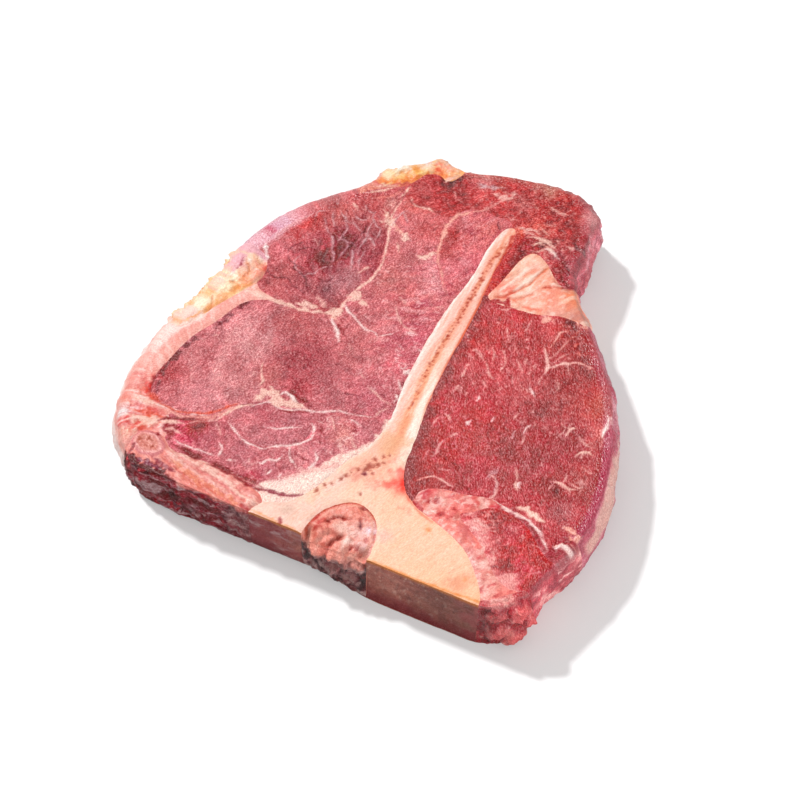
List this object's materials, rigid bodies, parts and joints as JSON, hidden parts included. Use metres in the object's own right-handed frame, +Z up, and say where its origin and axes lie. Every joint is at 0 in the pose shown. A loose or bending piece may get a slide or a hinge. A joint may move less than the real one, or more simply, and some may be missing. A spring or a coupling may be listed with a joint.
{
  "type": "raw t-bone steak",
  "caption": "Thick raw T-bone steak lying flat: a T-shaped bone between strip loin and tenderloin, with a cap of fat, kidney fat, flank tail and a sawn front edge",
  "frame": {"origin": "under the middle of the steak, on the plane that it rests on", "axes": "+Z up through the thickness, -Y towards the sawn edge with the vertebra and its canal, +Y along the bone's arm, +X towards the tenderloin side"},
  "size_m": [0.2, 0.1948, 0.0309],
  "materials": {
    "red_meat": "moist raw lean meat, deep red with fine pale marbling",
    "rose_meat": "moist raw lean meat, dusty rose red with a woolly grain",
    "dark_meat": "moist raw lean meat, dark red with coarse pale strands",
    "pink_fat": "soft raw fat, pinkish cream",
    "peach_fat": "smooth raw kidney fat, peach",
    "yellow_fat": "lumpy raw fat, pale yellow",
    "orange_fat": "translucent raw fat, light orange",
    "cut_bone": "sawn bone, smooth and creamy with red-brown pores",
    "spine_tissue": "sawn cartilage and fat, salmon with streaks",
    "canal_tissue": "soft lumpy tissue, pale salmon"
  },
  "bodies": {
    "root": {"spinal_tissue": "canal_tissue", "bone": "cut_bone", "kidney_fat": "peach_fat", "corner_trim": "red_meat", "side_strap": "red_meat", "seam_fat": "pink_fat", "tenderloin": "red_meat", "arm_muscle": "rose_meat", "back_fat": "orange_fat", "flank_tail": "dark_meat", "rump_fat": "yellow_fat", "oval_muscle": "rose_meat", "spine_band": "spine_tissue", "fat_cap": "pink_fat", "sirloin_cap": "rose_meat", "back_muscle": "rose_meat", "strip_loin": "rose_meat"}
  },
  "joints": []
}
